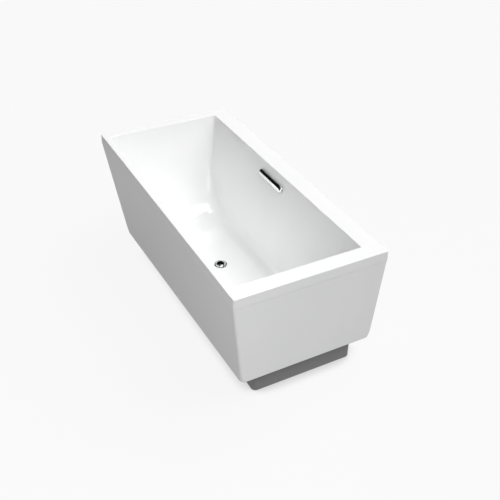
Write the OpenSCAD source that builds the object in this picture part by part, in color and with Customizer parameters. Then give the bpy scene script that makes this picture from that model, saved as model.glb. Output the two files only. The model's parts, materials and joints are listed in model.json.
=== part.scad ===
// Freestanding rectangular bathtub with a raked head end and a recessed plinth.
// Millimetres. +Z is up and +X runs from the head end to the foot end. The wide
// side of the rim, which carries the overflow, is on +Y. The origin is the middle
// of the rim's outline, at floor level.

/* [Rim] */
// Length over the rim
bath_l = 1700; // [1680:5:1720]
// Width over the rim
bath_w = 800; // [790:5:820]
// Height of the rim above the floor
bath_h = 630; // [610:5:650]
// Height of the upright band around the rim
lip_h = 54; // [36:1:60]
// Thickness of the acrylic shells
shell_t = 8; // [6:0.5:8]
// Corner radius of the rim's outline
rim_corner_r = 9; // [9:1:20]

/* [Basin] */
// Width of the rim at the head end
rim_head_w = 60; // [55:1:70]
// Width of the rim at the foot end
rim_foot_w = 85; // [75:1:95]
// Width of the rim on the narrow side
rim_left_w = 37; // [35:1:45]
// Width of the rim on the overflow side
rim_right_w = 98; // [90:1:105]
// Height of the basin floor above the ground
floor_z = 165; // [160:1:175]
// Lean of the backrest from upright, in degrees
head_lean = 26; // [24:0.5:28]
// Lean of the foot wall from upright, in degrees
foot_lean = 10; // [8:0.5:14]
// Lean of the narrow side's wall from upright, in degrees
left_lean = 9; // [8:0.5:12]
// Lean of the overflow side's wall from upright, in degrees
right_lean = 18; // [16:0.5:19]
// Radius that takes the backrest into the floor
head_sweep_r = 450; // [380:5:480]
// Radius that takes the other walls into the floor
floor_sweep_r = 80; // [60:1:90]
// Plan radius of the basin's corners at the rim
basin_corner_top_r = 8; // [6:1:25]
// Plan radius of the basin's corners at the floor
basin_corner_low_r = 80; // [60:1:90]

/* [Skirt and plinth] */
// Height of the plinth, and of the skirt's lower edge
plinth_h = 119; // [110:1:136]
// How far the head end is raked in at the skirt's lower edge
head_rake = 290; // [280:1:310]
// How far the foot end is set in at the skirt's lower edge
foot_rake = 4; // [2:1:12]
// How far each side is set in at the foot end's lower edge
foot_taper = 45; // [40:1:55]
// How far each side is set in at the head end's lower edge
head_taper = 20; // [15:1:40]
// Plan radius of the skirt's lower corners
skirt_corner_r = 28; // [20:1:60]
// Height over which the skirt's lower corners sharpen to the rim's radius
skirt_blend_h = 48; // [20:4:120]
// How far the plinth's ends are set back under the skirt
plinth_end_setback = 34; // [30:1:70]
// Width over the plinth
plinth_w = 548; // [510:1:560]
// Thickness of the plinth's walls
plinth_t = 12; // [10:1:16]

/* [Cradle] */
// Width and height of the steel tubes
tube_w = 30; // [28:1:30]
// Wall of the steel tubes
tube_wall = 3; // [2:0.5:3]
// Thickness of the board under the floor
board_t = 18; // [15:1:18]
// Distance from each rail to the line through the drain
rail_spread = 110; // [90:5:120]
// Position of the head crossbar along the tub
crossbar_head_x = -400; // [-420:5:-360]
// Position of the foot crossbar along the tub
crossbar_foot_x = 560; // [500:5:600]
// Distance from the centre line to each levelling foot
leveler_y = 205; // [180:5:210]
// Radius of the levelling studs
stud_r = 6; // [5:1:6]

/* [Waste and overflow] */
// Position of the drain along the tub
drain_x = 30; // [0:5:60]
// Position of the drain across the tub
drain_y = -62; // [-80:1:-50]
// Outside radius of the chrome drain flange
flange_r = 36; // [34:0.5:38]
// Outside radius of the waste pipe
waste_r = 20; // [19:0.5:20]
// Outside radius of the overflow pipe
overflow_pipe_r = 16; // [15:0.5:16]
// Position of the overflow along the tub
overflow_x = -40; // [-60:5:0]
// Height of the overflow's middle
overflow_z = 565; // [555:1:570]
// Length of the chrome overflow cover
overflow_l = 250; // [240:2:270]
// Width of the chrome overflow cover
overflow_w = 42; // [40:1:46]
// How far the overflow cover stands out from the wall
overflow_stand = 20; // [16:1:24]

/* [Hidden] */
$fn = 96;
hull_fn = 32;
slab_t = 0.5;
over = 1;

half_l = bath_l / 2;
half_w = bath_w / 2;

// Basin opening at the rim
open_head_x = -half_l + rim_head_w;
open_foot_x = half_l - rim_foot_w;
open_left_y = -half_w + rim_left_w;
open_right_y = half_w - rim_right_w;
sweep_steps = 12;
sweep_h = head_sweep_r * (1 - sin(head_lean));
basin_levels = concat([for (i = [0:sweep_steps]) floor_z + sweep_h * (1 - cos(90 * i / sweep_steps))], [bath_h]);

// Skirt
skirt_top_z = bath_h - lip_h;
skirt_top_set = 1;
skirt_flange_w = 22;
skirt_screw_set = 22;
skirt_screw_r = 2;
skirt_screw_grip = 16;

// Plinth
plinth_head_x = -half_l + head_rake + plinth_end_setback;
plinth_foot_x = half_l - foot_rake - plinth_end_setback;
plinth_corner_r = 25;

// Rim battens
batten_gap = 2;
batten_lip_gap = 1;
// Room in the right batten for the top of the overflow's box
batten_notch_w = 40;
batten_notch_gap = 4;

// Cradle
floor_under_z = floor_z - shell_t;
board_z = floor_under_z - board_t;
rail_z = board_z - tube_w;
crossbar_z = rail_z - tube_w;
rail_end_over = 30;
crossbar_half_l = 235;
board_inset = 14;
board_gap = 116;
board_screw_r = 2.5;
board_screw_grip = 12;
board_screw_x = [-230, 180, 540];

// Levelling feet
stud_gap = 0.05;
pad_r = 25;
pad_h = 12;
pad_base_t = 5;
stud_top_z = crossbar_z + tube_w - tube_wall - 6;
stud_hex_r = 9;
stud_hex_h = 6;
nut_r = 10;
nut_h = 8;

// Plinth brackets
bracket_w = 30;
bracket_t = 3;
plinth_screw_z = crossbar_z + tube_w / 2;
plinth_screw_bite = 8;
screw_head_h = 3;
screw_head_r = 4.5;

// Drain
gasket_t = 1;
washer_t = 3;
flange_t = 2.5;
flange_z = floor_z + gasket_t;
flange_top_z = flange_z + flange_t;
drain_hole_r = 25;
drain_tube_r = 24.5;
drain_bore_r = 21;
drain_tube_end_z = 112;
hub_z = 138;
hub_h = 6;
hub_r = 9;
guide_r = 6;
spoke_w = 4;
stem_r = 4;
running_gap = 0.05;
stem_end_z = 120;
stem_collar_r = 6;
cap_r = 29;
cap_lift_gap = 0.3;
cap_edge_h = 2;
cap_dome_h = 5;
seal_t = 4;

// Pipes
pipe_wall = 2.5;
socket_wall = 4.5;
socket_gap = 0.05;
socket_depth = 20;
nut_wall = 5.5;
slip_nut_h = 16;
slip_nut_lap = 10;
slip_washer_t = 3;
waste_z = 88;
shoe_r = 29;
shoe_flange_r = 35;
shoe_flange_t = 5;
shoe_bottom_z = 62;
shoe_reach = 62;
tee_reach = 46;
tee_drop = 40;
tee_rise = 60;
tail_end_z = 10;
tail_free_h = 28;
tail_collar_r = waste_r + 2;

// Overflow
overflow_y = open_right_y - (bath_h - overflow_z) * tan(right_lean);
overflow_pipe_depth = 38;
overflow_hole_l = 196;
overflow_hole_w = 22;
overflow_cover_t = 2;
overflow_box_l = 234;
overflow_box_w = 50;
overflow_box_wall = 3;
overflow_screw_x = 107;
overflow_screw_r = 2.5;
overflow_slot_l = 190;
overflow_slot_h = 9;
overflow_gasket_t = 3;
wall_back = shell_t * cos(right_lean);
overflow_box_front = wall_back + overflow_gasket_t;
overflow_box_depth = 46;
overflow_spigot_l = 37;
tee_distance = (overflow_z - overflow_pipe_depth * sin(right_lean) - waste_z) / cos(right_lean);
tee_y = overflow_y + overflow_pipe_depth * cos(right_lean) - tee_distance * sin(right_lean);

HEAD = -1;
FOOT = 1;
LEFT = -1;
RIGHT = 1;
acrylic = [0.95, 0.95, 0.95];
plinth_grey = [0.36, 0.36, 0.37];
chrome = [0.80, 0.80, 0.82];
steel = [0.62, 0.64, 0.66];
timber = [0.74, 0.60, 0.42];
rubber = [0.10, 0.10, 0.10];
pipe_white = [0.88, 0.88, 0.86];

// ---- shared shapes ----

// A rectangle from corner to corner with exact round corners
module rounded_span(low, high, r) {
    translate([low[0] + r, low[1]])
        square([high[0] - low[0] - 2 * r, high[1] - low[1]]);
    translate([low[0], low[1] + r])
        square([high[0] - low[0], high[1] - low[1] - 2 * r]);
    for (x = [low[0] + r, high[0] - r], y = [low[1] + r, high[1] - r])
        translate([x, y])
            circle(r = r);
}

// A bar shape with half-round ends
module pill(length, width) {
    square([length - width, width], center = true);
    for (end = [HEAD, FOOT])
        translate([end * (length - width) / 2, 0])
            circle(d = width);
}

module pipe(outer_r, inner_r, length) {
    difference() {
        cylinder(r = outer_r, h = length);
        translate([0, 0, -over])
            cylinder(r = inner_r, h = length + 2 * over);
    }
}

// A screw with its head at the origin and its point along +Z
module screw(shank_r, head_r, length) {
    translate([0, 0, -screw_head_h])
        cylinder(r = head_r, h = screw_head_h);
    cylinder(r = shank_r, h = length);
}

// Thin discs at the four corners of the area that a hull is drawn around
module corner_discs(low, high, r, z) {
    for (x = [low[0] + r, high[0] - r], y = [low[1] + r, high[1] - r])
        translate([x, y, z])
            cylinder(r = r, h = slab_t, $fn = hull_fn);
}

// ---- basin ----

// How far a basin wall has come in from the rim at height z: straight at its
// lean, then round into the floor
function wall_inset(lean, sweep_r, z) =
    let (straight_end_z = floor_z + sweep_r * (1 - sin(lean)))
    let (foot_of_wall = (bath_h - floor_z) * tan(lean) + sweep_r * tan(45 - lean / 2))
    let (drop = floor_z + sweep_r - z)
    z >= straight_end_z
        ? (bath_h - z) * tan(lean)
        : foot_of_wall - sqrt(sweep_r * sweep_r - drop * drop);

function basin_low(z) = [
    open_head_x + wall_inset(head_lean, head_sweep_r, z),
    open_left_y + wall_inset(left_lean, floor_sweep_r, z)
];

function basin_high(z) = [
    open_foot_x - wall_inset(foot_lean, floor_sweep_r, z),
    open_right_y - wall_inset(right_lean, floor_sweep_r, z)
];

// Sharp at the rim, and rounder ever faster on the way down
function basin_corner_r(z) =
    basin_corner_top_r
    + (basin_corner_low_r - basin_corner_top_r) * pow((bath_h - z) / (bath_h - floor_z), 2);

// The bowl's section at one height, made larger all round by grow
module basin_section(z, grow) {
    corner_discs(basin_low(z) - [grow, grow], basin_high(z) + [grow, grow], basin_corner_r(z) + grow, z);
}

module bowl_inside() {
    hull() {
        for (z = basin_levels)
            basin_section(z, 0);
        translate([0, 0, over])
            basin_section(bath_h, 0);
    }
}

module bowl_outside() {
    hull() {
        for (z = basin_levels)
            basin_section(min(z, bath_h - slab_t), shell_t);
        translate([0, 0, -shell_t])
            basin_section(floor_z, 0);
    }
}

module rim_outline(inset) {
    rounded_span([-half_l + inset, -half_w + inset], [half_l - inset, half_w - inset], rim_corner_r - inset);
}

module rim() {
    translate([0, 0, bath_h - shell_t])
        linear_extrude(shell_t)
            rim_outline(0);
    translate([0, 0, bath_h - lip_h])
        linear_extrude(lip_h)
            difference() {
                rim_outline(0);
                rim_outline(shell_t);
            }
}

module basin() {
    color(acrylic)
        difference() {
            union() {
                rim();
                bowl_outside();
            }
            bowl_inside();
            at_drain(floor_under_z - over)
                cylinder(r = drain_hole_r, h = shell_t + 2 * over);
            overflow_wall_holes();
        }
}

module overflow_wall_holes() {
    on_overflow_wall(-2 * shell_t) {
        linear_extrude(3 * shell_t)
            pill(overflow_hole_l, overflow_hole_w);
        overflow_screw_places()
            cylinder(r = overflow_screw_r, h = 3 * shell_t);
    }
}

// ---- rim battens ----

module batten(low, high) {
    color(timber)
        difference() {
            translate([low[0], low[1], skirt_top_z])
                cube([high[0] - low[0], high[1] - low[1], lip_h - shell_t]);
            translate([0, 0, -over])
                skirt_screw_places()
                    cylinder(r = skirt_screw_r, h = skirt_screw_grip + over);
        }
}

batten_far_x = half_l - shell_t - batten_lip_gap;
batten_far_y = half_w - shell_t - batten_lip_gap;
batten_near = shell_t + batten_gap;

module rim_batten_head() {
    batten([-batten_far_x, -batten_far_y], [open_head_x - batten_near, batten_far_y]);
}

module rim_batten_foot() {
    batten([open_foot_x + batten_near, -batten_far_y], [batten_far_x, batten_far_y]);
}

module rim_batten_left() {
    batten([open_head_x, -batten_far_y], [open_foot_x, open_left_y - batten_near]);
}

module rim_batten_right() {
    near_y = open_right_y + batten_near;
    notch_l = overflow_box_l + 2 * batten_notch_gap;
    notch_h = overflow_z + overflow_box_w / 2 - skirt_top_z;
    color(timber)
        difference() {
            batten([open_head_x, near_y], [open_foot_x, batten_far_y]);
            translate([overflow_x - notch_l / 2, near_y - over, skirt_top_z - over])
                cube([notch_l, batten_notch_w + over, notch_h + over]);
        }
}

// ---- skirt ----

// Share of the way up the skirt
function skirt_rise(z) = (z - plinth_h) / (skirt_top_z - plinth_h);

function skirt_set_in(low, z) = skirt_top_set + (low - skirt_top_set) * (1 - skirt_rise(z));

function skirt_end_x(end, z) = end * (half_l - skirt_set_in(end == HEAD ? head_rake : foot_rake, z));

function skirt_half_w(end, z) = half_w - skirt_set_in(end == HEAD ? head_taper : foot_taper, z);

// The skirt's section at one height, with its faces moved in by inset
module skirt_section(z, inset) {
    low_share = max(0, 1 - (z - plinth_h) / skirt_blend_h);
    r = rim_corner_r + (skirt_corner_r - rim_corner_r) * pow(low_share, 2) - inset;
    for (end = [HEAD, FOOT], side = [LEFT, RIGHT])
        translate([skirt_end_x(end, z) - end * (inset + r), side * (skirt_half_w(end, z) - inset - r), z])
            cylinder(r = r, h = slab_t, $fn = hull_fn);
}

module skirt_form(low_z, high_z, inset) {
    hull() {
        skirt_section(low_z, inset);
        for (share = [0.25:0.25:1])
            skirt_section(plinth_h + share * skirt_blend_h, inset);
        skirt_section(high_z - slab_t, inset);
    }
}

module skirt_screw_places() {
    for (x = [-600, -200, 200, 600], side = [LEFT, RIGHT])
        translate([x, side * (half_w - skirt_screw_set), skirt_top_z])
            children();
    for (end = [HEAD, FOOT], y = [-200, 200])
        translate([end * (half_l - skirt_screw_set), y, skirt_top_z])
            children();
}

module skirt() {
    flange_set = skirt_top_set + shell_t + skirt_flange_w;
    color(acrylic)
        difference() {
            skirt_form(plinth_h, skirt_top_z, 0);
            skirt_form(plinth_h + shell_t, skirt_top_z - shell_t, shell_t);
            translate([0, 0, plinth_h - over])
                linear_extrude(shell_t + 2 * over)
                    plinth_outline(plinth_t);
            translate([-half_l + flange_set, -half_w + flange_set, skirt_top_z - 2 * shell_t])
                cube([bath_l - 2 * flange_set, bath_w - 2 * flange_set, 3 * shell_t]);
            translate([0, 0, -2 * shell_t])
                skirt_screw_places()
                    cylinder(r = skirt_screw_r + 0.2, h = 3 * shell_t);
        }
}

module skirt_screws() {
    color(steel)
        skirt_screw_places()
            translate([0, 0, -shell_t])
                screw(skirt_screw_r, 2 * skirt_screw_r, shell_t + skirt_screw_grip - over);
}

// ---- plinth ----

module plinth_outline(inset) {
    rounded_span([plinth_head_x + inset, -plinth_w / 2 + inset], [plinth_foot_x - inset, plinth_w / 2 - inset],
        plinth_corner_r - inset);
}

// Each place where a bracket meets the plinth, with +Y pointing outward
module bracket_places() {
    for (x = [crossbar_head_x, crossbar_foot_x], turn = [0, 180])
        translate([x, 0, 0])
            rotate([0, 0, turn])
                children();
}

module plinth() {
    color(plinth_grey)
        difference() {
            linear_extrude(plinth_h)
                difference() {
                    plinth_outline(0);
                    plinth_outline(plinth_t);
                }
            bracket_places()
                translate([0, plinth_w / 2 - plinth_t - over, plinth_screw_z])
                    rotate([-90, 0, 0])
                        cylinder(r = board_screw_r, h = plinth_screw_bite + over);
        }
}

// A bent strip: up the crossbar's end, out, and up the plinth's inner face
module plinth_brackets() {
    gap = plinth_w / 2 - plinth_t - crossbar_half_l;
    color(steel)
        bracket_places()
            translate([-bracket_w / 2, crossbar_half_l, crossbar_z])
                difference() {
                    union() {
                        cube([bracket_w, bracket_t, tube_w]);
                        cube([bracket_w, gap, bracket_t]);
                        translate([0, gap - bracket_t, 0])
                            cube([bracket_w, bracket_t, tube_w]);
                    }
                    translate([bracket_w / 2, gap - bracket_t - over, tube_w / 2])
                        rotate([-90, 0, 0])
                            cylinder(r = board_screw_r, h = bracket_t + 2 * over);
                }
}

module plinth_screws() {
    color(steel)
        bracket_places()
            translate([0, plinth_w / 2 - plinth_t - bracket_t, plinth_screw_z])
                rotate([-90, 0, 0])
                    screw(board_screw_r, screw_head_r, bracket_t + plinth_screw_bite);
}

// ---- cradle ----

module board_screw_places() {
    for (x = board_screw_x, side = [LEFT, RIGHT])
        translate([x, drain_y + side * rail_spread, rail_z])
            children();
}

// One of the two boards under the floor, which leave room for the drain between them
module base_board(low_x, high_x) {
    low_y = basin_low(floor_z)[1] + board_inset;
    high_y = basin_high(floor_z)[1] - board_inset;
    color(timber)
        difference() {
            translate([low_x, low_y, board_z])
                cube([high_x - low_x, high_y - low_y, board_t]);
            board_screw_places()
                cylinder(r = board_screw_r, h = tube_w + board_screw_grip);
        }
}

module base_board_head() {
    base_board(basin_low(floor_z)[0] + board_inset, drain_x - board_gap / 2);
}

module base_board_foot() {
    base_board(drain_x + board_gap / 2, basin_high(floor_z)[0] - board_inset);
}

module square_tube(length) {
    difference() {
        translate([0, -tube_w / 2, 0])
            cube([length, tube_w, tube_w]);
        translate([-over, tube_wall - tube_w / 2, tube_wall])
            cube([length + 2 * over, tube_w - 2 * tube_wall, tube_w - 2 * tube_wall]);
    }
}

module rail(side) {
    length = crossbar_foot_x - crossbar_head_x + 2 * rail_end_over;
    color(steel)
        difference() {
            translate([crossbar_head_x - rail_end_over, drain_y + side * rail_spread, rail_z])
                square_tube(length);
            translate([0, 0, -over])
                board_screw_places()
                    cylinder(r = board_screw_r, h = tube_w + 2 * over);
        }
}

module crossbar(x) {
    color(steel)
        difference() {
            translate([x, -crossbar_half_l, crossbar_z])
                rotate([0, 0, 90])
                    square_tube(2 * crossbar_half_l);
            for (side = [LEFT, RIGHT])
                translate([x, side * leveler_y, crossbar_z - over])
                    cylinder(r = stud_r + stud_gap, h = tube_wall + 2 * over);
        }
}

module board_screws() {
    color(steel)
        board_screw_places()
            screw(board_screw_r, screw_head_r, tube_w + board_screw_grip);
}

// ---- levelling feet ----

module at_leveler(end, side, z) {
    translate([end == HEAD ? crossbar_head_x : crossbar_foot_x, side * leveler_y, z])
        children();
}

module each_leveler(z) {
    for (end = [HEAD, FOOT], side = [LEFT, RIGHT])
        at_leveler(end, side, z)
            children();
}

module leveler_stud(end, side) {
    color(steel)
        at_leveler(end, side, pad_base_t) {
            cylinder(r = stud_r, h = stud_top_z - pad_base_t);
            translate([0, 0, pad_h - pad_base_t + over])
                cylinder(r = stud_hex_r, h = stud_hex_h, $fn = 6);
        }
}

module leveler_pad(end, side) {
    color(rubber)
        at_leveler(end, side, 0)
            difference() {
                cylinder(r = pad_r, h = pad_h);
                translate([0, 0, pad_base_t])
                    cylinder(r = stud_r + stud_gap, h = pad_h);
            }
}

module leveler_nut() {
    difference() {
        cylinder(r = nut_r, h = nut_h, $fn = 6);
        translate([0, 0, -over])
            cylinder(r = stud_r + stud_gap, h = nut_h + 2 * over);
    }
}

module leveler_weld_nuts() {
    color(steel)
        each_leveler(crossbar_z + tube_wall)
            leveler_nut();
}

module leveler_lock_nuts() {
    color(steel)
        each_leveler(crossbar_z - nut_h)
            leveler_nut();
}

// ---- drain ----

module at_drain(z) {
    translate([drain_x, drain_y, z])
        children();
}

module drain_flange() {
    hub_top = hub_z + hub_h;
    color(chrome)
        at_drain(0) {
            rotate_extrude()
                polygon([[drain_bore_r, drain_tube_end_z], [drain_tube_r, drain_tube_end_z],
                    [drain_tube_r, flange_z], [flange_r, flange_z], [flange_r - 2, flange_top_z],
                    [drain_bore_r, flange_top_z]]);
            difference() {
                for (turn = [0, 90])
                    rotate([0, 0, turn])
                        translate([-drain_bore_r - over, -spoke_w / 2, hub_z])
                            cube([2 * (drain_bore_r + over), spoke_w, hub_h]);
                translate([0, 0, hub_z - over])
                    cylinder(r = guide_r, h = hub_h + 2 * over);
            }
            translate([0, 0, hub_z])
                pipe(hub_r, guide_r, hub_top - hub_z);
        }
}

module stopper_guide() {
    color(rubber)
        at_drain(hub_z)
            pipe(guide_r, stem_r + running_gap, hub_h);
}

module drain_gasket() {
    color(rubber)
        at_drain(floor_z)
            pipe(flange_r - 2, drain_hole_r, gasket_t);
}

module drain_washer() {
    color(rubber)
        at_drain(floor_under_z - washer_t)
            pipe(shoe_flange_r, drain_hole_r, washer_t);
}

module stopper_cap() {
    under_z = flange_top_z + cap_lift_gap;
    dome_r = (cap_r * cap_r + cap_dome_h * cap_dome_h) / (2 * cap_dome_h);
    color(chrome)
        at_drain(under_z)
            difference() {
                union() {
                    cylinder(r = cap_r, h = cap_edge_h);
                    intersection() {
                        translate([0, 0, cap_edge_h + cap_dome_h - dome_r])
                            sphere(r = dome_r);
                        cylinder(r = cap_r, h = cap_edge_h + cap_dome_h + over);
                    }
                }
                translate([0, 0, -over])
                    cylinder(r = stem_r, h = cap_edge_h + over);
            }
}

module stopper_stem() {
    stem_top_z = flange_top_z + cap_lift_gap + cap_edge_h;
    color(steel)
        at_drain(stem_end_z) {
            cylinder(r = stem_r, h = stem_top_z - stem_end_z);
            cylinder(r = stem_collar_r, h = seal_t);
        }
}

module stopper_seal() {
    color(rubber)
        at_drain(flange_top_z + cap_lift_gap - 2 * seal_t)
            difference() {
                union() {
                    cylinder(r = drain_bore_r - running_gap, h = seal_t);
                    cylinder(r = 2 * stem_r, h = 2 * seal_t);
                }
                translate([0, 0, -over])
                    cylinder(r = stem_r, h = 2 * seal_t + 2 * over);
            }
}

// ---- pipe joints ----

// A socket that a pipe slips into, with its mouth at the origin and facing +Z
module socket_skin(pipe_r, depth) {
    translate([0, 0, -depth])
        cylinder(r = pipe_r + socket_wall, h = depth);
}

module socket_bore(pipe_r) {
    translate([0, 0, -socket_depth])
        cylinder(r = pipe_r + socket_gap, h = socket_depth + over);
}

module slip_nut(pipe_r) {
    translate([0, 0, -slip_nut_lap])
        difference() {
            cylinder(r = pipe_r + socket_wall + nut_wall, h = slip_nut_h, $fn = 8);
            translate([0, 0, -over])
                cylinder(r = pipe_r + socket_wall, h = slip_nut_lap + slip_washer_t + over);
            cylinder(r = pipe_r, h = slip_nut_h + over);
        }
}

module slip_washer(pipe_r) {
    pipe(pipe_r + socket_wall, pipe_r, slip_washer_t);
}

// The mouths of the five sockets, each facing +Z, by the radius of their pipe
module waste_mouths() {
    translate([drain_x, drain_y + shoe_reach, waste_z])
        rotate([-90, 0, 0])
            children();
    translate([drain_x, tee_y - tee_reach, waste_z])
        rotate([90, 0, 0])
            children();
    translate([drain_x, tee_y, waste_z - tee_drop])
        rotate([180, 0, 0])
            children();
}

module overflow_mouths() {
    on_overflow_pipe(tee_rise)
        children();
    on_overflow_pipe(overflow_mouth_rise())
        rotate([180, 0, 0])
            children();
}

function overflow_mouth_rise() = tee_distance - overflow_box_w / 2 - overflow_spigot_l;

// Up the slanted overflow pipe from the middle of the tee
module on_overflow_pipe(rise) {
    translate([drain_x, tee_y, waste_z])
        rotate([-right_lean, 0, 0])
            translate([0, 0, rise])
                children();
}

module slip_nuts() {
    color(pipe_white) {
        waste_mouths()
            slip_nut(waste_r);
        overflow_mouths()
            slip_nut(overflow_pipe_r);
    }
}

module slip_washers() {
    color(rubber) {
        waste_mouths()
            slip_washer(waste_r);
        overflow_mouths()
            slip_washer(overflow_pipe_r);
    }
}

// ---- waste ----

module waste_shoe() {
    top_z = floor_under_z - washer_t;
    color(pipe_white)
        difference() {
            union() {
                at_drain(shoe_bottom_z)
                    cylinder(r = shoe_r, h = top_z - shoe_bottom_z);
                at_drain(top_z - shoe_flange_t)
                    cylinder(r = shoe_flange_r, h = shoe_flange_t);
                translate([drain_x, drain_y + shoe_reach, waste_z])
                    rotate([-90, 0, 0])
                        socket_skin(waste_r, shoe_reach);
            }
            at_drain(shoe_bottom_z + socket_wall)
                cylinder(r = drain_tube_r + socket_gap, h = top_z);
            at_drain(waste_z)
                rotate([-90, 0, 0])
                    cylinder(r = waste_r - pipe_wall, h = shoe_reach);
            translate([drain_x, drain_y + shoe_reach, waste_z])
                rotate([-90, 0, 0])
                    socket_bore(waste_r);
        }
}

module waste_pipe() {
    from_y = drain_y + shoe_reach - socket_depth + over;
    to_y = tee_y - tee_reach + socket_depth - over;
    color(pipe_white)
        translate([drain_x, from_y, waste_z])
            rotate([-90, 0, 0])
                pipe(waste_r, waste_r - pipe_wall, to_y - from_y);
}

module waste_tee() {
    color(pipe_white)
        difference() {
            union() {
                translate([drain_x, tee_y, waste_z])
                    sphere(r = waste_r + socket_wall);
                translate([drain_x, tee_y - tee_reach, waste_z])
                    rotate([90, 0, 0])
                        socket_skin(waste_r, tee_reach);
                translate([drain_x, tee_y, waste_z - tee_drop])
                    rotate([180, 0, 0])
                        socket_skin(waste_r, tee_drop);
                on_overflow_pipe(tee_rise)
                    socket_skin(overflow_pipe_r, tee_rise);
            }
            translate([drain_x, tee_y - tee_reach, waste_z])
                rotate([-90, 0, 0])
                    cylinder(r = waste_r - pipe_wall, h = tee_reach);
            translate([drain_x, tee_y, waste_z - tee_drop])
                cylinder(r = waste_r - pipe_wall, h = tee_drop);
            on_overflow_pipe(0)
                cylinder(r = overflow_pipe_r - pipe_wall, h = tee_rise);
            translate([drain_x, tee_y - tee_reach, waste_z])
                rotate([90, 0, 0])
                    socket_bore(waste_r);
            translate([drain_x, tee_y, waste_z - tee_drop])
                rotate([180, 0, 0])
                    socket_bore(waste_r);
            on_overflow_pipe(tee_rise)
                socket_bore(overflow_pipe_r);
        }
}

// The collar marks how far a stranger's pipe can slide on
module tailpiece() {
    top_z = waste_z - tee_drop + socket_depth - over;
    collar_z = tail_end_z + tail_free_h;
    color(pipe_white)
        translate([drain_x, tee_y, 0])
            difference() {
                union() {
                    translate([0, 0, tail_end_z])
                        cylinder(r = waste_r, h = top_z - tail_end_z);
                    translate([0, 0, collar_z])
                        cylinder(r = tail_collar_r, h = slip_washer_t);
                }
                translate([0, 0, tail_end_z - over])
                    cylinder(r = waste_r - pipe_wall, h = top_z);
            }
}

// ---- overflow ----

// On the overflow side's wall: +Z points into the basin, +Y up the wall
module on_overflow_wall(z) {
    translate([overflow_x, overflow_y, overflow_z])
        rotate([90 - right_lean, 0, 0])
            translate([0, 0, z])
                children();
}

module overflow_screw_places() {
    for (end = [HEAD, FOOT])
        translate([end * overflow_screw_x, 0, 0])
            children();
}

// A chrome shell that is open to the wall, with a slot along its lower edge
module overflow_cover() {
    color(chrome)
        on_overflow_wall(0)
            difference() {
                linear_extrude(overflow_stand)
                    pill(overflow_l, overflow_w);
                translate([0, 0, -over])
                    linear_extrude(overflow_stand - overflow_cover_t + over)
                        pill(overflow_l - 2 * overflow_cover_t, overflow_w - 2 * overflow_cover_t);
                translate([-overflow_slot_l / 2, -overflow_w / 2 - over, overflow_cover_t])
                    cube([overflow_slot_l, overflow_cover_t + 2 * over, overflow_slot_h]);
            }
}

module overflow_gasket() {
    color(rubber)
        on_overflow_wall(-overflow_box_front)
            linear_extrude(overflow_gasket_t)
                difference() {
                    pill(overflow_box_l, overflow_box_w);
                    pill(overflow_hole_l, overflow_hole_w);
                    overflow_screw_places()
                        circle(r = overflow_screw_r);
                }
}

module overflow_body() {
    outlet_x = drain_x - overflow_x;
    inner_depth = overflow_box_depth - 2 * overflow_box_wall;
    color(pipe_white)
        difference() {
            union() {
                on_overflow_wall(-overflow_box_front - overflow_box_depth)
                    linear_extrude(overflow_box_depth)
                        pill(overflow_box_l, overflow_box_w);
                on_overflow_pipe(overflow_mouth_rise())
                    rotate([180, 0, 0])
                        socket_skin(overflow_pipe_r, overflow_spigot_l + overflow_box_wall);
            }
            on_overflow_wall(-overflow_box_front - overflow_box_wall - inner_depth)
                linear_extrude(inner_depth)
                    square([overflow_hole_l, overflow_box_w - 2 * overflow_box_wall], center = true);
            on_overflow_wall(-overflow_box_front - overflow_box_depth / 2)
                linear_extrude(overflow_box_depth)
                    pill(overflow_hole_l, overflow_hole_w);
            on_overflow_wall(-overflow_box_front - overflow_box_depth / 2)
                overflow_screw_places()
                    cylinder(r = overflow_screw_r, h = overflow_box_depth);
            on_overflow_pipe(overflow_mouth_rise())
                cylinder(r = overflow_pipe_r - pipe_wall, h = overflow_spigot_l + overflow_box_w / 2);
            on_overflow_pipe(overflow_mouth_rise())
                rotate([180, 0, 0])
                    socket_bore(overflow_pipe_r);
        }
}

module overflow_screws() {
    color(steel)
        on_overflow_wall(0)
            overflow_screw_places()
                rotate([180, 0, 0])
                    screw(overflow_screw_r, screw_head_r, overflow_box_front + overflow_box_depth / 2);
}

module overflow_pipe() {
    low = tee_rise - socket_depth + over;
    high = overflow_mouth_rise() + socket_depth - over;
    color(pipe_white)
        on_overflow_pipe(low)
            pipe(overflow_pipe_r, overflow_pipe_r - pipe_wall, high - low);
}

basin();
skirt();
plinth();
rim_batten_head();
rim_batten_foot();
rim_batten_left();
rim_batten_right();
skirt_screws();
base_board_head();
base_board_foot();
rail(LEFT);  // rail_left
rail(RIGHT);  // rail_right
crossbar(crossbar_head_x);  // crossbar_head
crossbar(crossbar_foot_x);  // crossbar_foot
board_screws();
leveler_stud(HEAD, LEFT);  // leveler_stud_head_left
leveler_stud(HEAD, RIGHT);  // leveler_stud_head_right
leveler_stud(FOOT, LEFT);  // leveler_stud_foot_left
leveler_stud(FOOT, RIGHT);  // leveler_stud_foot_right
leveler_pad(HEAD, LEFT);  // leveler_pad_head_left
leveler_pad(HEAD, RIGHT);  // leveler_pad_head_right
leveler_pad(FOOT, LEFT);  // leveler_pad_foot_left
leveler_pad(FOOT, RIGHT);  // leveler_pad_foot_right
leveler_weld_nuts();
leveler_lock_nuts();
plinth_brackets();
plinth_screws();
drain_flange();
drain_gasket();
drain_washer();
waste_shoe();
stopper_cap();
stopper_stem();
stopper_seal();
stopper_guide();
overflow_cover();
overflow_gasket();
overflow_body();
overflow_screws();
overflow_pipe();
waste_pipe();
waste_tee();
tailpiece();
slip_nuts();
slip_washers();
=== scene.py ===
# The looks of a freestanding bathtub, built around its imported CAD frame.
# Metres, in the CAD frame: +Z up, +X towards the foot end, the overflow on +Y.
import json
import math

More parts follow.
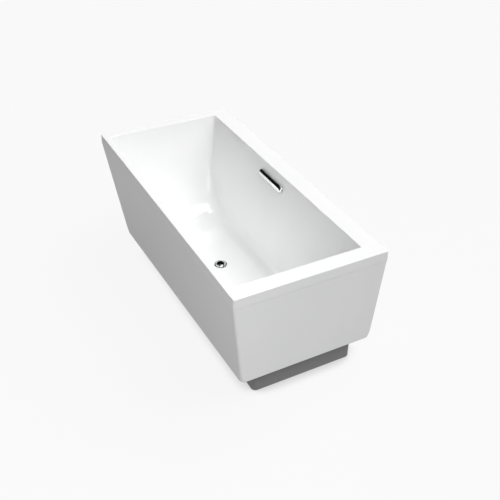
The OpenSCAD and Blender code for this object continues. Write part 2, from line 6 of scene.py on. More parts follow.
import bmesh
import bpy
from mathutils import Matrix, Vector

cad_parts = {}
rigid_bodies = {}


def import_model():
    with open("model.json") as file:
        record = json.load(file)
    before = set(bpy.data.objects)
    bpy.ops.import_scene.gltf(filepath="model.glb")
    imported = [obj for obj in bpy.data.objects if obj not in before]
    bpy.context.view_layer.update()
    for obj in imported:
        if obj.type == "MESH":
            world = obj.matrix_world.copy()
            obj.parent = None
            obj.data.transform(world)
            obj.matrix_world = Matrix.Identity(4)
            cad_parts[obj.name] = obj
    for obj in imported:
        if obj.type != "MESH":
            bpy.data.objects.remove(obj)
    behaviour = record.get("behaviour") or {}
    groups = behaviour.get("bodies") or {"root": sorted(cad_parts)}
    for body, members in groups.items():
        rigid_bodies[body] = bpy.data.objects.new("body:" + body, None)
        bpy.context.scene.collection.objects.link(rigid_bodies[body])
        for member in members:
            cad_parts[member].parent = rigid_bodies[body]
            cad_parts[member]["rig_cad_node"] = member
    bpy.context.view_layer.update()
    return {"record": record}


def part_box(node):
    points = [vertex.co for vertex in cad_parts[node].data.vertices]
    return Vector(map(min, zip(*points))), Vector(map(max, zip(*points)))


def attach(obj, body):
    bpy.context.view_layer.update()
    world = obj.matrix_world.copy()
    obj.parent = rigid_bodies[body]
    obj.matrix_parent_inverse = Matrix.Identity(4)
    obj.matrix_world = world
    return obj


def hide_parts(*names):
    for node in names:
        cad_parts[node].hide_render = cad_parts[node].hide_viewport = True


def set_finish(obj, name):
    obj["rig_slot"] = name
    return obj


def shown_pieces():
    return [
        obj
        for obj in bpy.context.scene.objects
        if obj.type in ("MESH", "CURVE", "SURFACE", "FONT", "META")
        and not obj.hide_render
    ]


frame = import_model()


# ---- sizes read from the frame ----

basin_low, basin_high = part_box("basin")
skirt_low, skirt_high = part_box("skirt")
plinth_low, plinth_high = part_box("plinth")
flange_low, flange_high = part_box("drain_flange")
cap_low, cap_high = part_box("stopper_cap")
cover_low, cover_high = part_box("overflow_cover")
half_l = basin_high.x
half_w = basin_high.y
rim_z = basin_high.z
lip_z = skirt_high.z
skirt_z = skirt_low.z
floor_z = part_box("drain_gasket")[0].z
shell_t = floor_z - basin_low.z
drain = (flange_low + flange_high) / 2

# The basin's opening, and how far outside it the rim battens stand
batten_gap = 0.010
opening_low = (
    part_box("rim_batten_head")[1].x + batten_gap,
    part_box("rim_batten_left")[1].y + batten_gap,
)
opening_high = (
    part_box("rim_batten_foot")[0].x - batten_gap,
    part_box("rim_batten_right")[0].y - batten_gap,
)


# ---- the design's own values, as the CAD model has them ----

head_lean = math.radians(26)
foot_lean = math.radians(10)
left_lean = math.radians(9)
right_lean = math.radians(18)
head_sweep_r = 0.450
floor_sweep_r = 0.080
opening_corner_r = 0.008
floor_corner_r = 0.080
rim_corner_r = 0.009
skirt_top_set = 0.001
skirt_corner_r = 0.028
skirt_blend_h = 0.048
head_rake = 0.290
foot_rake = 0.004
head_taper = 0.020
foot_taper = 0.045
plinth_t = 0.012
plinth_corner_r = 0.025
drain_hole_r = 0.025
drain_bore_r = 0.021
drain_tube_r = 0.0245
overflow_hole = (0.196, 0.022)
overflow_slot = (0.190, 0.009)
overflow_cover_t = 0.002
overflow_cover_w = 0.042
overflow_stand = 0.020


# ---- rounded edges and small details of the looks ----

rim_edge_r = 0.003
opening_edge_r = 0.004
lip_under_r = 0.0015
lip_draft = 0.001
skirt_edge_r = 0.006
skirt_top_bevel = 0.001
skirt_flange_in = 0.032
skirt_inner_corner_r = 0.002
plinth_edge_r = 0.004
overflow_front_r = 0.018
overflow_lip_r = 0.0006

# The drain's flange, from its tube up to its edge and over to its mouth
tube_end_r = 0.0005
flange_seat_r = 0.0003
flange_edge_h = 0.0012
flange_edge_r = 0.0006
flange_slope_w = 0.003
flange_crown_r = 0.0015
flange_mouth_w = 0.003
flange_mouth_r = 0.001
flange_throat_h = 0.002
flange_throat_r = 0.0008

# The two bars across the drain's bore
bar_half_w = 0.002
bar_half_h = 0.003
bar_sides = 16
bar_in_guide = 0.0005
bar_in_flange = 0.001

# The stopper's cap
cap_edge_h = 0.002
cap_edge_r = 0.0008
cap_edge_bevel_h = 0.0004
cap_edge_bevel_w = 0.0001
cap_lip_w = 0.004
cap_hollow_h = 0.0008
cap_hollow_top_set = 0.006
cap_hollow_foot_set = 0.005
cap_stem_r = 0.0045
cap_middle_r = 0.001
cap_flatness = 7


# ---- outlines in plan and profiles ----

def box_corners(low, high, grow=0.0):
    """The corners of a box in plan, anticlockwise from the low one, moved outward by grow."""
    return [
        (low[0] - grow, low[1] - grow),
        (high[0] + grow, low[1] - grow),
        (high[0] + grow, high[1] + grow),
        (low[0] - grow, high[1] + grow),
    ]


def outline(corners, r, corner_steps=12, side_steps=16):
    """Points round four corners in plan, each rounded to radius r."""
    arcs = []
    for i, (x, y) in enumerate(corners):
        centre_x = x + (r if i in (0, 3) else -r)
        centre_y = y + (r if i in (0, 1) else -r)
        start = math.pi + i * math.pi / 2
        turns = [start + math.pi / 2 * s / corner_steps for s in range(corner_steps + 1)]
        arcs.append([(centre_x + r * math.cos(a), centre_y + r * math.sin(a)) for a in turns])
    ring = []
    for i, arc in enumerate(arcs):
        (ax, ay), (bx, by) = arc[-1], arcs[(i + 1) % 4][0]
        ring += arc
        ring += [
            (ax + (bx - ax) * s / side_steps, ay + (by - ay) * s / side_steps)
            for s in range(1, side_steps)
        ]
    return ring


def at_height(ring, z):
    """A plan outline as a ring of points at height z."""
    return [(x, y, z) for x, y in ring]


def circle_facing(ring, centre, r):
    """The points of a circle that lie nearest to each point of a ring around it."""
    points = []
    for x, y in ring:
        dx, dy = x - centre[0], y - centre[1]
        reach = math.hypot(dx, dy)
        points.append((centre[0] + r * dx / reach, centre[1] + r * dy / reach))
    return points


def between(ring, other, share):
    """The outline that lies a share of the way from one outline to another."""
    return [(x + (u - x) * share, y + (v - y) * share) for (x, y), (u, v) in zip(ring, other)]


def quarter_turn(steps):
    """Angles from nothing to a right angle, in even steps."""
    return [math.pi / 2 * s / steps for s in range(steps + 1)]


def levels_after(low, high, steps):
    """Heights in even steps from low, which is left out, to high."""
    return [low + (high - low) * s / steps for s in range(1, steps + 1)]


def edge_inset(lean, r, depth):
    """How far a leaning face has moved at a depth past its edge, which is rounded to r."""
    if depth >= r * (1 - math.sin(lean)):
        return depth * math.tan(lean)
    turn = math.acos(1 - depth / r)
    return r * math.sin(turn) - r * math.tan((math.pi / 2 - lean) / 2)


def edge_depths(r, widest_degrees=90, steps=8):
    """Depths that space points evenly round an edge of radius r."""
    widest_turn = math.radians(widest_degrees)
    return [r * (1 - math.cos(widest_turn * s / steps)) for s in range(steps + 1)]


# ---- meshes ----

def new_object(name, data):
    """A mesh, light or camera in the scene."""
    obj = bpy.data.objects.new(name, data)
    bpy.context.scene.collection.objects.link(obj)
    return obj


def finish_mesh(mesh, sharp_degrees=35, same_point=1e-6):
    """Faces outward, smooth but for the sharp edges."""
    work = bmesh.new()
    work.from_mesh(mesh)
    bmesh.ops.remove_doubles(work, verts=work.verts, dist=same_point)
    bmesh.ops.recalc_face_normals(work, faces=work.faces)
    work.to_mesh(mesh)
    work.free()
    mesh.shade_smooth()
    mesh.set_sharp_from_angle(angle=math.radians(sharp_degrees))


def ring_faces(first, count, rings, joined):
    """Quads between rings of points; joined also links the last ring to the first."""
    faces = []
    for i in range(rings if joined else rings - 1):
        a, b = first + i * count, first + (i + 1) % rings * count
        faces += [
            (a + j, a + (j + 1) % count, b + (j + 1) % count, b + j)
            for j in range(count)
        ]
    return faces


def body_from_rings(name, rings, joined=True):
    """A closed body through rings of points: a hoop of them, or capped at both ends."""
    count = len(rings[0])
    faces = ring_faces(0, count, len(rings), joined)
    if not joined:
        faces.append(tuple(range(count)))
        faces.append(tuple(range((len(rings) - 1) * count, len(rings) * count)))
    mesh = bpy.data.meshes.new(name)
    mesh.from_pydata([p for ring in rings for p in ring], [], faces)
    finish_mesh(mesh)
    return new_object(name, mesh)


def turned_rings(profile, centre, steps=96):
    """Rings round a vertical axis for a profile of (radius, height)."""
    turns = [2 * math.pi * s / steps for s in range(steps)]
    return [
        [(centre[0] + r * math.cos(a), centre[1] + r * math.sin(a), z) for a in turns]
        for r, z in profile
    ]


def fillet(corner, before, after, r, steps=5):
    """Points round a profile's corner, where the sides come from before and go on to after."""
    corner, before, after = Vector(corner), Vector(before), Vector(after)
    a = (before - corner).normalized()
    b = (after - corner).normalized()
    half = a.angle(b) / 2
    reach = r / math.tan(half)
    centre = corner + (a + b).normalized() * r / math.sin(half)
    start = corner + a * reach - centre
    end = corner + b * reach - centre
    turn = start.angle_signed(end)
    return [
        tuple(centre + Matrix.Rotation(-turn * s / steps, 2) @ start)
        for s in range(steps + 1)
    ]


def rounded_profile(points):
    """A closed profile of (radius, height, rounding) with the corners rounded that ask for it."""
    profile = []
    for i, (x, z, r) in enumerate(points):
        before, after = points[i - 1][:2], points[(i + 1) % len(points)][:2]
        profile += fillet((x, z), before, after, r) if r else [(x, z)]
    return profile


def join(obj, *others):
    """Other meshes become separate shells of obj's own mesh."""
    work = bmesh.new()
    work.from_mesh(obj.data)
    for other in others:
        work.from_mesh(other.data)
        bpy.data.objects.remove(other)
    work.to_mesh(obj.data)
    work.free()
    finish_mesh(obj.data)


def cut(obj, cutter):
    """Takes cutter's shape out of obj, for good."""
    modifier = obj.modifiers.new("cut", "BOOLEAN")
    modifier.operation = "DIFFERENCE"
    modifier.solver = "EXACT"
    modifier.object = cutter
    evaluated = obj.evaluated_get(bpy.context.evaluated_depsgraph_get())
    mesh = bpy.data.meshes.new_from_object(evaluated)
    obj.modifiers.clear()
    obj.data = mesh
    bpy.data.objects.remove(cutter)
    finish_mesh(obj.data)


def place(obj, body, slot, *replaced):
    """Hangs a finished piece on its CAD body, in the place of the nodes it stands for."""
    modifier = obj.modifiers.new("even_normals", "WEIGHTED_NORMAL")
    modifier.keep_sharp = True
    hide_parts(*replaced)
    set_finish(obj, slot)
    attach(obj, body)


# ---- basin ----

def wall_inset(lean, sweep_r, z):
    """How far a basin wall has come in at height z, rounded at the rim and into the floor."""
    straight_end_z = floor_z + sweep_r * (1 - math.sin(lean))
    if z >= straight_end_z:
        return edge_inset(lean, opening_edge_r, rim_z - z)
    foot = (rim_z - floor_z) * math.tan(lean) + sweep_r * math.tan(math.pi / 4 - lean / 2)
    drop = floor_z + sweep_r - z
    return foot - math.sqrt(max(sweep_r**2 - drop**2, 0))


def bowl_outline(z, grow=0.0):
    """The bowl's plan at height z, moved outward by grow."""
    low = (
        opening_low[0] + wall_inset(head_lean, head_sweep_r, z),
        opening_low[1] + wall_inset(left_lean, floor_sweep_r, z),
    )
    high = (
        opening_high[0] - wall_inset(foot_lean, floor_sweep_r, z),
        opening_high[1] - wall_inset(right_lean, floor_sweep_r, z),
    )
    depth_share = (rim_z - z) / (rim_z - floor_z)
    r = opening_corner_r + (floor_corner_r - opening_corner_r) * depth_share**2 + grow
    return outline(box_corners(low, high, grow), r)


def bowl_levels():
    """Heights from the rim to the floor, closest together where the walls turn."""
    edge = [rim_z - depth for depth in edge_depths(opening_edge_r, widest_degrees=80)]
    sweep_top_z = floor_z + head_sweep_r * (1 - math.sin(head_lean))
    straight = levels_after(edge[-1], sweep_top_z, steps=12)[:-1]
    sweep = [
        floor_z + (sweep_top_z - floor_z) * (1 - math.cos(turn))
        for turn in reversed(quarter_turn(steps=40))
    ]
    return edge + straight + sweep


def basin_floor(z, shares):
    """Rings on the basin's floor at height z, from the walls towards the drain's hole."""
    inner_floor = bowl_outline(floor_z)
    hole = circle_facing(inner_floor, drain, drain_hole_r)
    return [at_height(between(inner_floor, hole, share), z) for share in shares]


def bowl_outside(levels):
    """Rings up the outside of the bowl, to the underside of the rim."""
    under_rim_z = rim_z - shell_t
    least_step = 0.001
    wall_levels = [z for z in reversed(levels) if z < under_rim_z - least_step]
    return [at_height(bowl_outline(z, shell_t), z) for z in wall_levels + [under_rim_z]]


def rim_ring(inset, z):
    """The rim's plan at height z, drawn in by inset."""
    corners = box_corners((-half_l, -half_w), (half_l, half_w), -inset)
    return at_height(outline(corners, rim_corner_r - inset), z)


def rim_and_lip():
    """Rings under the rim, down the inside of its lip, and up the outside to the rim's edge."""
    rings = [rim_ring(shell_t, rim_z - shell_t), rim_ring(shell_t, lip_z)]
    rings += [
        rim_ring(lip_under_r * (1 - math.sin(a)), lip_z + lip_under_r * (1 - math.cos(a)))
        for a in quarter_turn(steps=3)
    ]
    rings += [
        rim_ring(lip_draft + rim_edge_r * (1 - math.cos(a)), rim_z - rim_edge_r * (1 - math.sin(a)))
        for a in quarter_turn(steps=7)
    ]
    return rings


def make_basin():
    """One shell: down the bowl, across its floor, back under it, and out round the rim."""
    levels = bowl_levels()
    floor_shares = (0.25, 0.5, 0.7, 0.85, 0.94, 1.0)
    rings = [at_height(bowl_outline(z), z) for z in levels]
    rings += basin_floor(floor_z, floor_shares)
    rings += basin_floor(floor_z - shell_t, (*reversed(floor_shares), 0.0))
    rings += bowl_outside(levels)
    rings += rim_and_lip()
    basin = body_from_rings("basin_shell", rings)
    cut(basin, overflow_cutter())
    place(basin, "tub", "white_acrylic", "basin")


# ---- overflow ----

# On the overflow side's wall: +Z points into the basin and +Y up the wall
overflow_at = Vector((
    (cover_low.x + cover_high.x) / 2,
    cover_high.y - overflow_cover_w / 2 * math.sin(right_lean),
    cover_low.z + overflow_cover_w / 2 * math.cos(right_lean),
))
overflow_frame = (
    Matrix.Translation(overflow_at)
    @ Matrix.Rotation(math.pi / 2 - right_lean, 4, "X")
)
overflow_cover_l = cover_high.x - cover_low.x


def pill_ring(length, width, z, steps=20):
    """Points round a bar with half-round ends, on the overflow's wall."""
    reach, r = (length - width) / 2, width / 2
    points = []
    for end, start in ((1, -math.pi / 2), (-1, math.pi / 2)):
        for s in range(steps + 1):
            a = start + math.pi * s / steps
            points.append((end * reach + r * math.cos(a), r * math.sin(a), z))
    return points


def on_overflow(rings):
    """Rings of points, moved from the overflow's own frame to where it sits on the wall."""
    return [[tuple(overflow_frame @ Vector(p)) for p in ring] for ring in rings]


def overflow_cutter():
    """A bar with round ends that goes through the basin's wall behind the cover."""
    hole = [pill_ring(*overflow_hole, z) for z in (-3 * shell_t, shell_t)]
    return body_from_rings("overflow_cutter", on_overflow(hole), joined=False)


def cover_front(r, turns):
    """The cover's rounded front as (inset, height), from its face round to its side."""
    return [(r * (1 - math.sin(a)), overflow_stand - r * (1 - math.cos(a))) for a in turns]


def make_overflow_cover():
    """A half-round shell of chrome, open to the wall, with a slot below."""
    r = overflow_lip_r
    t = overflow_cover_t
    turns = quarter_turn(steps=8)
    middle = (overflow_cover_w / 2 - r, overflow_stand)
    front = cover_front(overflow_front_r, turns)
    lip = [(r * (1 - math.cos(a)), r * (1 - math.sin(a))) for a in quarter_turn(steps=2)]
    back = [(t + inset, z - t) for inset, z in cover_front(overflow_front_r - t, turns[::-1])]
    rings = [
        pill_ring(overflow_cover_l - 2 * inset, overflow_cover_w - 2 * inset, z)
        for inset, z in [middle, *front, *lip, (t, 0.0), *back]
    ]
    cover = body_from_rings("overflow_plate", on_overflow(rings), joined=False)
    cut(cover, slot_cutter())
    place(cover, "tub", "chrome", "overflow_cover")


def slot_cutter():
    """A bar with round ends that goes through the cover's lower edge."""
    length, height = overflow_slot
    edge_y = -overflow_cover_w / 2
    middle_z = overflow_cover_t + height / 2
    ring = pill_ring(length, height, 0.0, steps=8)
    rings = [
        [(x, y, middle_z + z) for x, z, _ in ring]
        for y in (edge_y - overflow_cover_t, edge_y + 2 * overflow_cover_t)
    ]
    return body_from_rings("slot_cutter", on_overflow(rings), joined=False)


# ---- drain ----

def make_drain():
    """The flange with its rolled edge and tube, and the crossed bars that carry the stopper."""
    top_z = flange_high.z
    seat_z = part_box("drain_gasket")[1].z
    r = flange_high.x - drain.x
    profile = rounded_profile([
        (drain_bore_r, flange_low.z, 0),
        (drain_tube_r, flange_low.z, tube_end_r),
        (drain_tube_r, seat_z, 0),
        (r, seat_z, flange_seat_r),
        (r, seat_z + flange_edge_h, flange_edge_r),
        (r - flange_slope_w, top_z, flange_crown_r),
        (drain_bore_r + flange_mouth_w, top_z, flange_mouth_r),
        (drain_bore_r, top_z - flange_throat_h, flange_throat_r),
    ])
    flange = body_from_rings("drain_ring", turned_rings(profile, drain))
    join(flange, *[drain_bar(quarter * math.pi / 2) for quarter in range(4)])
    place(flange, "tub", "chrome", "drain_flange")


def drain_bar(turn):
    """One half of a bar across the drain's bore, oval, from the stopper's guide to the flange."""
    guide_low, guide_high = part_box("stopper_guide")
    guide_r = (guide_high.x - guide_low.x) / 2
    middle = Vector((drain.x, drain.y, (guide_low.z + guide_high.z) / 2))
    turned = Matrix.Rotation(turn, 3, "Z")
    turns = [2 * math.pi * i / bar_sides for i in range(bar_sides)]
    rings = []
    for reach in (guide_r - bar_in_guide, drain_bore_r + bar_in_flange):
        oval = [(reach, bar_half_w * math.cos(a), bar_half_h * math.sin(a)) for a in turns]
        rings.append([tuple(middle + turned @ Vector(point)) for point in oval])
    return body_from_rings("drain_bar", rings, joined=False)


def make_stopper_cap():
    """The nearly flat cap, with a rolled edge and a shallow hollow under it."""
    r = cap_high.x - (cap_low.x + cap_high.x) / 2
    low_z = cap_low.z
    high_z = cap_high.z
    edge_z = low_z + cap_edge_h
    hollow_z = low_z + cap_hollow_h
    hollow = [
        (cap_middle_r, hollow_z),
        (cap_stem_r, hollow_z),
        (r - cap_hollow_top_set, hollow_z),
        (r - cap_hollow_foot_set, low_z),
    ]
    lip = (r - cap_lip_w, low_z)
    rim = [lip, *fillet((r, low_z), lip, (r, edge_z), cap_edge_r)]
    rim += [(r, edge_z - cap_edge_bevel_h), (r - cap_edge_bevel_w, edge_z)]
    steps = 24
    shares = [s / steps for s in range(steps - 1, 0, -1)]
    crown = [(r * share, high_z - (high_z - edge_z) * share**cap_flatness) for share in shares]
    rings = turned_rings(hollow + rim + crown, drain)
    cap = body_from_rings("stopper_dome", rings, joined=False)
    place(cap, "stopper", "chrome", "stopper_cap")


# ---- skirt and plinth ----

def plinth_ring(inset, z):
    """The plinth's plan at height z, drawn in by inset."""
    corners = box_corners(plinth_low, plinth_high, -inset)
    return at_height(outline(corners, plinth_corner_r - inset), z)


def skirt_set_in(foot_set, z, edge_r):
    """How far a skirt face is set in at height z, when its foot is set in by foot_set."""
    lean = math.atan2(foot_set - skirt_top_set, lip_z - skirt_z)
    return foot_set - edge_inset(lean, edge_r, z - skirt_z)


def skirt_ring(z, inset=0.0, edge_r=0.0):
    """The skirt's plan at height z, drawn in by inset, with its lower edge rounded to edge_r."""
    ends = {-1: (head_rake, head_taper), 1: (foot_rake, foot_taper)}
    corners = []
    for end, side in ((-1, -1), (1, -1), (1, 1), (-1, 1)):
        rake, taper = ends[end]
        x = half_l - skirt_set_in(rake, z, edge_r) - inset
        y = half_w - skirt_set_in(taper, z, edge_r) - inset
        corners.append((end * x, side * y))
    low_share = max(0.0, 1 - (z - skirt_z) / skirt_blend_h)
    r = rim_corner_r + (skirt_corner_r - rim_corner_r) * low_share**2 - inset
    return at_height(outline(corners, max(r, skirt_inner_corner_r)), z)


def skirt_outside():
    """Rings up the skirt's panels, closest together at the lower edge."""
    edge = [skirt_z + depth for depth in edge_depths(skirt_edge_r)]
    blend_z = skirt_z + skirt_blend_h
    levels = edge + levels_after(edge[-1], blend_z, steps=8)
    levels += levels_after(blend_z, lip_z, steps=10)[:-1]
    bevel_z = lip_z - skirt_top_bevel
    rings = [skirt_ring(z, edge_r=skirt_edge_r) for z in levels]
    return rings + [skirt_ring(bevel_z), skirt_ring(lip_z, inset=skirt_top_bevel)]


def make_skirt():
    """One shell: out over the plinth, up the panels, in along the flange, and down inside."""
    flange_z = lip_z - shell_t
    turn_in_z = skirt_z + shell_t
    rings = [plinth_ring(plinth_t, skirt_z), plinth_ring(0.0, skirt_z)]
    rings += skirt_outside()
    rings += [skirt_ring(z, inset=skirt_flange_in) for z in (lip_z, flange_z)]
    inner_levels = [flange_z] + levels_after(flange_z, turn_in_z, steps=10)
    rings += [skirt_ring(z, inset=shell_t) for z in inner_levels]
    rings.append(plinth_ring(plinth_t, turn_in_z))
    skirt = body_from_rings("skirt_panels", rings)
    place(skirt, "tub", "white_acrylic", "skirt")


def make_plinth():
    """A band round the tub's foot, with its lower edge rounded."""
    r = plinth_edge_r
    rings = [plinth_ring(plinth_t, plinth_low.z)]
    rings += [
        plinth_ring(r * (1 - math.sin(a)), plinth_low.z + r * (1 - math.cos(a)))
        for a in quarter_turn(steps=4)
    ]
    rings += [plinth_ring(0.0, plinth_high.z), plinth_ring(plinth_t, plinth_high.z)]
    plinth = body_from_rings("plinth_band", rings)
    place(plinth, "tub", "plinth_grey", "plinth")


# ---- materials ----

# The values between which a noise mostly stays
noise_low = 0.3
noise_high = 0.7


class Surface:
    """A node material that grows from a principled shader."""

    def __init__(self, name, **constants):
        """The constants are the shader's own sockets, with _ for each space in a name."""
        self.material = bpy.data.materials.new(name)
        self.material.use_nodes = True
        self.tree = self.material.node_tree
        self.shader = self.tree.nodes["Principled BSDF"]
        self.position = self.tree.nodes.new("ShaderNodeTexCoord").outputs["Object"]
        for socket, value in constants.items():
            self.shader.inputs[socket.replace("_", " ")].default_value = value

    def noise(self, scale, squeeze=(1, 1, 1), detail=3.0):
        """Noise over the object: scale is how fine it is, and squeeze how much finer on each axis."""
        mapping = self.tree.nodes.new("ShaderNodeMapping")
        mapping.inputs["Scale"].default_value = squeeze
        self.tree.links.new(self.position, mapping.inputs["Vector"])
        texture = self.tree.nodes.new("ShaderNodeTexNoise")
        texture.inputs["Scale"].default_value = scale
        texture.inputs["Detail"].default_value = detail
        self.tree.links.new(mapping.outputs["Vector"], texture.inputs["Vector"])
        return texture.outputs["Fac"]

    def ramp(self, source, low, high, socket):
        """A shader colour between low and high, each a value of the source and its colour."""
        ramp = self.tree.nodes.new("ShaderNodeValToRGB")
        for element, (at, colour) in zip(ramp.color_ramp.elements, (low, high)):
            element.position = at
            element.color = (*colour, 1)
        self.tree.links.new(source, ramp.inputs["Fac"])
        self.tree.links.new(ramp.outputs["Color"], self.shader.inputs[socket])

    def colour(self, source, low, high):
        """A base colour between low and high."""
        self.ramp(source, (noise_low, low), (noise_high, high), "Base Color")

    def roughness(self, source, low, high):
        """A roughness between low and high."""
        spread = self.tree.nodes.new("ShaderNodeMapRange")
        spread.inputs["From Min"].default_value = noise_low
        spread.inputs["From Max"].default_value = noise_high
        spread.inputs["To Min"].default_value = low
        spread.inputs["To Max"].default_value = high
        self.tree.links.new(source, spread.inputs["Value"])
        self.tree.links.new(spread.outputs["Result"], self.shader.inputs["Roughness"])

    def bump(self, source, depth, strength):
        """A fine relief, as deep as depth in metres."""
        bump = self.tree.nodes.new("ShaderNodeBump")
        bump.inputs["Strength"].default_value = strength
        bump.inputs["Distance"].default_value = depth
        self.tree.links.new(source, bump.inputs["Height"])
        self.tree.links.new(bump.outputs["Normal"], self.shader.inputs["Normal"])


def acrylic():
    """Glossy white with a very slight unevenness, as a moulded sheet has."""
    s = Surface("gloss_white_acrylic")
    s.colour(s.noise(scale=2.5), low=(0.91, 0.913, 0.916), high=(0.935, 0.935, 0.935))
    s.roughness(s.noise(scale=9), low=0.04, high=0.07)
    s.bump(s.noise(scale=14, detail=1.0), depth=0.0004, strength=0.12)
    return s.material


def satin_grey():
    """Mid grey with faint level brushing."""
    s = Surface("satin_grey_plinth")
    brushing = s.noise(scale=60, squeeze=(1, 1, 6))
    s.colour(brushing, low=(0.220, 0.220, 0.224), high=(0.260, 0.260, 0.264))
    s.roughness(s.noise(scale=30), low=0.32, high=0.45)
    s.bump(s.noise(scale=900), depth=0.00005, strength=0.5)
    return s.material


def polished_chrome():
    """Mirror-like metal with a faint smear."""
    s = Surface("polished_chrome", Metallic=1.0)
    s.colour(s.noise(scale=20), low=(0.74, 0.75, 0.76), high=(0.80, 0.80, 0.81))
    s.roughness(s.noise(scale=60), low=0.03, high=0.07)
    s.bump(s.noise(scale=40, detail=1.0), depth=0.00005, strength=0.2)
    return s.material


def zinc():
    """Dull plated metal with a fine mottle."""
    s = Surface("zinc_plated_steel", Metallic=1.0)
    s.colour(s.noise(scale=120, detail=4.0), low=(0.50, 0.51, 0.53), high=(0.66, 0.66, 0.67))
    s.roughness(s.noise(scale=200), low=0.28, high=0.48)
    s.bump(s.noise(scale=500), depth=0.00004, strength=0.4)
    return s.material


def painted_steel():
    """Dark grey powder coat with its fine orange peel."""
    s = Surface("powder_coated_steel")
    s.colour(s.noise(scale=8), low=(0.26, 0.27, 0.28), high=(0.33, 0.34, 0.35))
    s.roughness(s.noise(scale=80), low=0.42, high=0.58)
    s.bump(s.noise(scale=1200), depth=0.00008, strength=0.6)
    return s.material


def timber():
    """Planed wood with its grain along X."""
    s = Surface("planed_timber")
    grain = s.noise(scale=14, squeeze=(1, 9, 9), detail=6.0)
    s.colour(grain, low=(0.36, 0.23, 0.12), high=(0.62, 0.46, 0.28))
    s.roughness(grain, low=0.6, high=0.8)
    s.bump(grain, depth=0.0004, strength=0.5)
    return s.material


def rubber():
    """Matt black with a fine grain."""
    s = Surface("black_rubber")
    s.colour(s.noise(scale=50), low=(0.022, 0.022, 0.022), high=(0.04, 0.04, 0.04))
    s.roughness(s.noise(scale=120), low=0.65, high=0.85)
    s.bump(s.noise(scale=700), depth=0.00008, strength=0.5)
    return s.material


def moulded_plastic(name, low, high):
    """Plastic with the slight texture of its mould, in a colour between low and high."""
    s = Surface(name)
    s.colour(s.noise(scale=12), low, high)
    s.roughness(s.noise(scale=90), low=0.38, high=0.55)
    s.bump(s.noise(scale=600), depth=0.00005, strength=0.4)
    return s.material


def give_materials():
    """Every piece, new or carried over from the CAD, gets its slot's material."""
    made = {
        "white_acrylic": acrylic(),
        "plinth_grey": satin_grey(),
        "timber": timber(),
        "steel_tube": painted_steel(),
        "zinc_steel": zinc(),
        "black_rubber": rubber(),
        "guide_plastic": moulded_plastic(
            "guide_plastic", low=(0.08, 0.08, 0.08), high=(0.12, 0.12, 0.12)
        ),
        "chrome": polished_chrome(),
        "pipe_plastic": moulded_plastic(
            "pipe_plastic", low=(0.74, 0.74, 0.71), high=(0.82, 0.82, 0.80)
        ),
    }
    slot_of = {part["node"]: part["material_slot"] for part in frame["record"]["subparts"]}
    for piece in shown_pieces():
        slot = piece.get("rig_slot") or slot_of[piece["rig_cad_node"]]
        piece.data.materials.clear()
        piece.data.materials.append(made[slot])


# ---- camera, light and floor ----

def make_camera():
    """The direction, roll and distance of the view that the tub is shown from."""
    azimuth = math.radians(61.59)
    elevation = math.radians(35.45)
    roll = math.radians(1.01)
    distance = 4.095
    shift_across = 0.1174
    shift_along = -0.0632
    target = Vector((0, 0, 0.3))
    back = Vector((
        math.sin(azimuth) * math.cos(elevation),
        -math.cos(azimuth) * math.cos(elevation),
        math.sin(elevation),
    ))
    level = Vector((math.cos(azimuth), math.sin(azimuth), 0))
    upright = back.cross(level)
    across = level * math.cos(roll) + upright * math.sin(roll)
    along = upright * math.cos(roll) - level * math.sin(roll)
    camera = new_object("camera", bpy.data.cameras.new("camera"))
    camera.data.lens = 54.3
    camera.data.sensor_width = 36
    place_at = target + back * distance + across * shift_across + along * shift_along
    turned = Matrix((across, along, back)).transposed().to_4x4()
    camera.matrix_world = Matrix.Translation(place_at) @ turned
    bpy.context.scene.camera = camera


def softbox(name, azimuth, elevation, spread, strength, shows_in_gloss=True):
    """A distant round softbox: where it is in the sky, from +X, and how wide it looks, in degrees."""
    light = bpy.data.lights.new(name, "SUN")
    light.energy = strength
    light.angle = math.radians(spread)
    turn = math.radians(azimuth)
    rise = math.radians(elevation)
    towards = Vector((
        math.cos(turn) * math.cos(rise),
        math.sin(turn) * math.cos(rise),
        math.sin(rise),
    ))
    obj = new_object(name, light)
    obj.rotation_euler = towards.to_track_quat("Z", "Y").to_euler()
    obj.visible_glossy = shows_in_gloss


def near_light(name, at, aim, size, power):
    """A rectangular softbox near the tub, brightest on what is closest to it."""
    light = bpy.data.lights.new(name, "AREA")
    light.shape = "RECTANGLE"
    light.size, light.size_y = size
    light.energy = power
    obj = new_object(name, light)
    obj.location = at
    obj.rotation_euler = (Vector(aim) - obj.location).to_track_quat("-Z", "Y").to_euler()


def make_light():
    """Softboxes in a dark studio. The strongest is on +Y, and leaves the tub's -Y side in shade."""
    world = bpy.data.worlds.new("studio")
    world.use_nodes = True
    world.node_tree.nodes["Background"].inputs["Color"].default_value = (0.01, 0.01, 0.01, 1)
    bpy.context.scene.world = world
    bpy.context.scene.view_settings.view_transform = "Standard"
    # Kept out of the gloss, where a light this wide would show as a white disc
    softbox("right", azimuth=90, elevation=50, spread=60, strength=3.05, shows_in_gloss=False)
    near_light("foot_left", at=(2.6, -2.2, 2.2), aim=(0.2, -0.2, 0.35), size=(2.3, 2.3), power=34.5)
    softbox("foot_high", azimuth=0, elevation=62, spread=35, strength=0.80)
    softbox("head_high", azimuth=180, elevation=70, spread=35, strength=0.08)
    # Its reflection is the bright patch where the backrest meets the basin's floor
    near_light("window", at=(-0.77, 0.69, 2.2), aim=(-0.46, 0, 0.2), size=(0.70, 0.26), power=3.2)


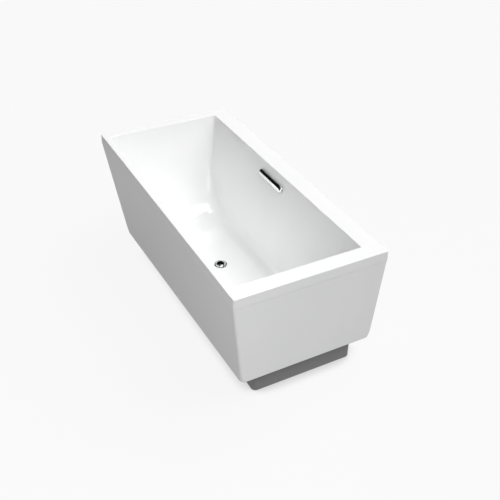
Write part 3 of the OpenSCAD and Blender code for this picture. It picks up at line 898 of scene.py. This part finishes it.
def glowing_paper(name, glow, albedo):
    """Plain matt paper, which glows so that it looks evenly lit."""
    s = Surface(name, Specular_IOR_Level=0.0, Emission_Color=(1, 1, 1, 1), Emission_Strength=glow)
    lightest = 1.04 * albedo
    s.colour(s.noise(scale=0.5), low=(albedo, albedo, albedo), high=(lightest, lightest, lightest))
    s.roughness(s.noise(scale=2), low=0.9, high=1.0)
    return s


def paint_contact_shadow(paper):
    """Painted contact shadow: less glow on the floor where the tub stands close over it."""
    openness = paper.tree.nodes.new("ShaderNodeAmbientOcclusion")
    openness.inputs["Distance"].default_value = 0.125
    covered = (0.1, (0.3, 0.3, 0.3))
    clear = (0.72, (1, 1, 1))
    # Painted shade: the glow falls towards 0.3 where the tub covers the floor
    paper.ramp(openness.outputs["AO"], covered, clear, "Emission Color")


def stage_surface(name, rings, faces, paper):
    """A surface of the studio, which casts no shadow."""
    mesh = bpy.data.meshes.new(name)
    mesh.from_pydata([point for ring in rings for point in ring], [], faces)
    mesh.materials.append(paper.material)
    obj = new_object(name, mesh)
    obj.visible_shadow = False
    return obj


def hide_from_object(obj):
    """Leaves a surface to be seen, but neither to light the object nor to show in its gloss."""
    obj.visible_diffuse = False
    obj.visible_glossy = False


def make_floor(reach, gap=0.002):
    """The floor that shows, and another just under it that only throws light back."""
    corners = box_corners((-reach, -reach), (reach, reach))
    face = tuple(range(len(corners)))
    paper = glowing_paper("floor_paper", glow=0.90, albedo=0.045)
    # Painted contact shadow in the floor's glow, under and beside the tub
    paint_contact_shadow(paper)
    hide_from_object(stage_surface("floor", [at_height(corners, 0)], [face], paper))
    under_paper = glowing_paper("bounce_floor_paper", glow=0.395, albedo=0.12)
    under = stage_surface("bounce_floor", [at_height(corners, -gap)], [face], under_paper)
    under.visible_camera = False


def make_backdrop(r, low_z, high_z, sides=48):
    """A round wall far off, which goes down past the floor."""
    paper = glowing_paper("backdrop_paper", glow=0.93, albedo=0.01)
    rings = turned_rings([(r, low_z), (r, high_z)], (0, 0), sides)
    faces = ring_faces(0, sides, len(rings), joined=False)
    hide_from_object(stage_surface("backdrop", rings, faces, paper))


make_basin()
make_skirt()
make_plinth()
make_overflow_cover()
make_drain()
make_stopper_cap()
give_materials()
make_camera()
make_light()
make_floor(reach=40)
make_backdrop(r=36, low_z=-1, high_z=40)
